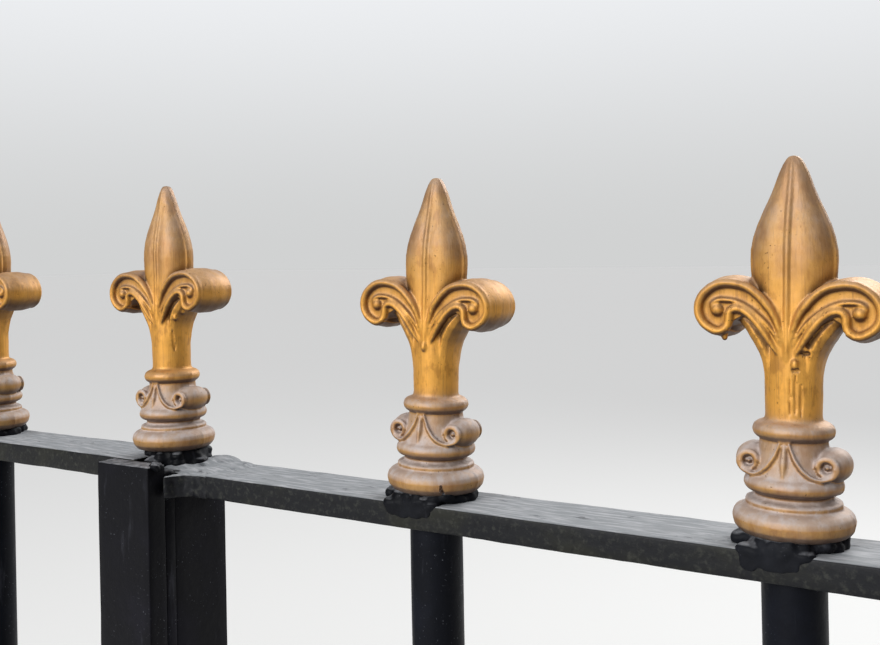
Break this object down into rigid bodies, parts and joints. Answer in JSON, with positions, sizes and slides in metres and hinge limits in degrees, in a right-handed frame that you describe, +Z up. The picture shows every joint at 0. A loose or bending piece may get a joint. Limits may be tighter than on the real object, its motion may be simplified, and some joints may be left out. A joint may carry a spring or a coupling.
{
  "type": "wrought iron driveway gate",
  "caption": "Pair of flat-topped swing gate leaves with round bars, gilt fleur-de-lis finials and a cover strip, hung between square steel posts.",
  "frame": {"origin": "centre of the underside of the left post's base plate, at ground level", "axes": "+X along the closed gate to the right post, +Y into the property, +Z up"},
  "size_m": [3.521, 0.2, 1.526],
  "materials": {
    "post_paint": "black paint on mild steel, semi-matt, lightly dirtied",
    "frame_paint": "black paint on mild steel, aged, fine specks",
    "rail_paint": "black paint weathered to chalky grey on top, with green-brown grime on the edges",
    "bar_paint": "black paint on round bar, semi-matt",
    "weld_black": "lumpy weld under thick black paint",
    "hinge_steel": "painted steel, worn bright where it rubs",
    "finial_gilt": "gold paint over a casting, worn and dull in the hollows"
  },
  "bodies": {
    "posts": {"left_base_plate": "post_paint", "left_post": "post_paint", "left_post_cap": "post_paint", "right_base_plate": "post_paint", "right_post": "post_paint", "right_post_cap": "post_paint", "left_upper_hinge_pin": "hinge_steel", "left_lower_hinge_pin": "hinge_steel", "right_upper_hinge_pin": "hinge_steel", "right_lower_hinge_pin": "hinge_steel"},
    "left_leaf": {"left_hinge_stile": "frame_paint", "left_meeting_stile": "frame_paint", "left_top_rail": "rail_paint", "left_middle_rail": "rail_paint", "left_bottom_rail": "rail_paint", "left_upper_bars": "bar_paint", "left_lower_bars": "bar_paint", "left_upper_hinge_eye": "hinge_steel", "left_lower_hinge_eye": "hinge_steel", "left_finial_seats": "weld_black", "left_finials": "finial_gilt"},
    "right_leaf": {"right_hinge_stile": "frame_paint", "right_meeting_stile": "frame_paint", "right_top_rail": "rail_paint", "right_middle_rail": "rail_paint", "right_bottom_rail": "rail_paint", "right_upper_bars": "bar_paint", "right_lower_bars": "bar_paint", "right_upper_hinge_eye": "hinge_steel", "right_lower_hinge_eye": "hinge_steel", "right_finial_seats": "weld_black", "right_finials": "finial_gilt", "cover_strip": "frame_paint", "cover_strip_packing": "frame_paint", "cover_strip_weld": "weld_black", "centre_collar": "weld_black", "centre_finial": "finial_gilt", "drop_bolt": "hinge_steel", "drop_bolt_guides": "hinge_steel"}
  },
  "joints": [
    {"name": "left_leaf_swing", "type": "hinge", "parent": "posts", "child": "left_leaf", "pos_m": [0.095, 0, 0.7], "axis": [0, 0, 1], "range_deg": [0, 90]},
    {"name": "right_leaf_swing", "type": "hinge", "parent": "posts", "child": "right_leaf", "pos_m": [3.226, 0, 0.7], "axis": [0, 0, -1], "range_deg": [0, 90]}
  ],
  "couplings": [
    {"joint": "left_leaf_swing", "follows": "right_leaf_swing", "ratio": 1}
  ]
}
